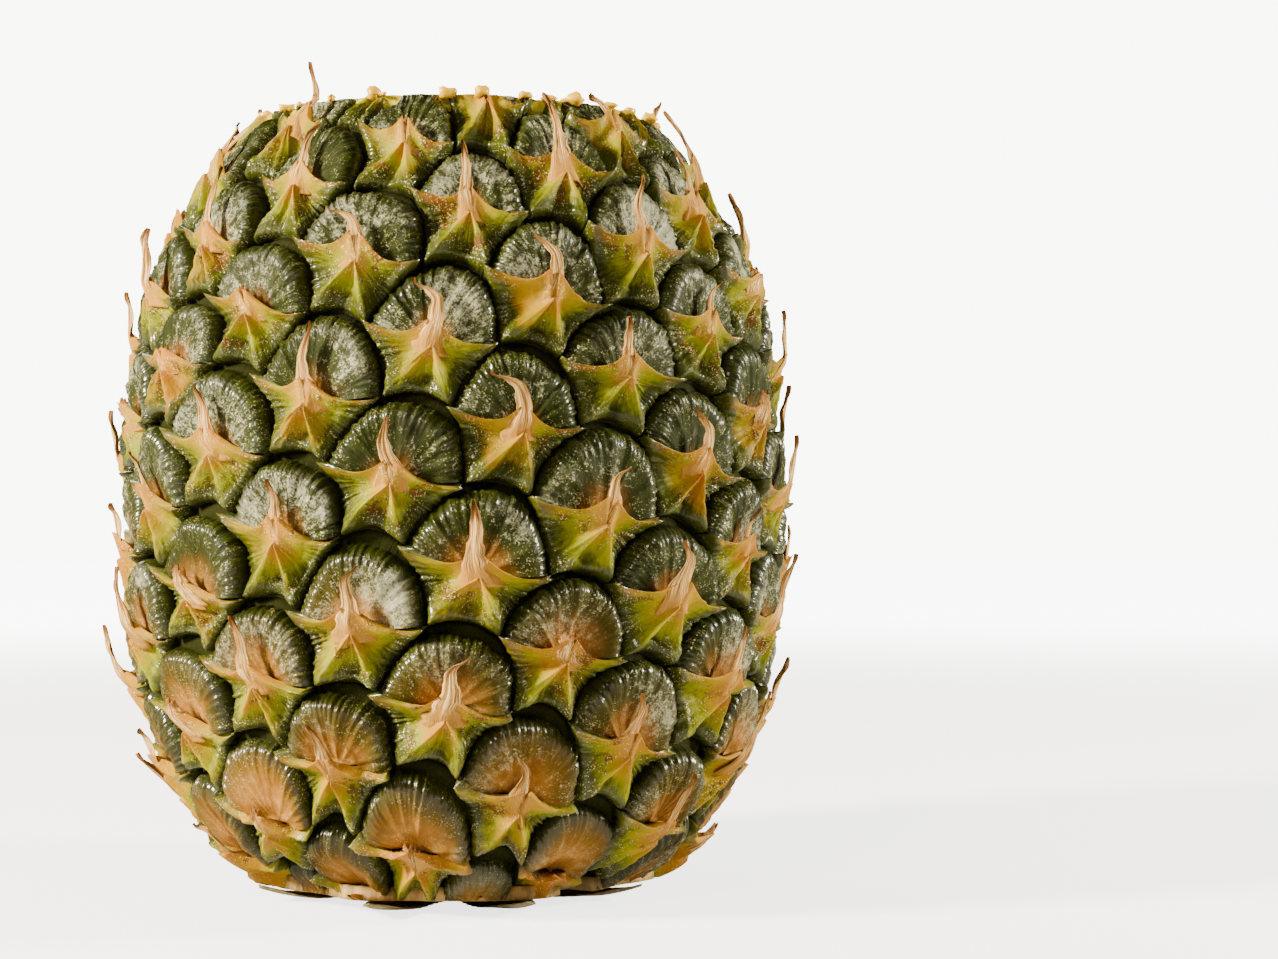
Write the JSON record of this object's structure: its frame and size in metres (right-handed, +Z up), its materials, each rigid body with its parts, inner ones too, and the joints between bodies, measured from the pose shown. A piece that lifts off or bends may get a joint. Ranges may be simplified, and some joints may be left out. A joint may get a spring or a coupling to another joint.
{
  "type": "pineapple without crown",
  "caption": "Whole pineapple with its crown sliced off flat, standing upright on its stalk end and a ring of small dry leaves.",
  "frame": {"origin": "middle of the stalk's flat cut face, on the plane that the fruit stands on", "axes": "+Z up along the fruit's axis, from the base to the cut top; -Y is the front"},
  "size_m": [0.1437, 0.1437, 0.163],
  "materials": {
    "rind": "tough waxy rind, dark green caps with pale bloom, green and tan bracts, satin to glossy",
    "flesh": "wet yellow flesh of the cut face, glossy",
    "stalk": "dry fibrous cut end, matte",
    "dry_leaf": "dry leaf, olive brown, matte"
  },
  "bodies": {
    "root": {"pineapple_fruit": "rind", "stalk_stub": "stalk", "basal_leaf_1": "dry_leaf", "basal_leaf_2": "dry_leaf", "basal_leaf_3": "dry_leaf", "basal_leaf_4": "dry_leaf", "basal_leaf_5": "dry_leaf", "basal_leaf_6": "dry_leaf", "basal_leaf_7": "dry_leaf", "basal_leaf_8": "dry_leaf", "basal_leaf_9": "dry_leaf"}
  },
  "joints": []
}
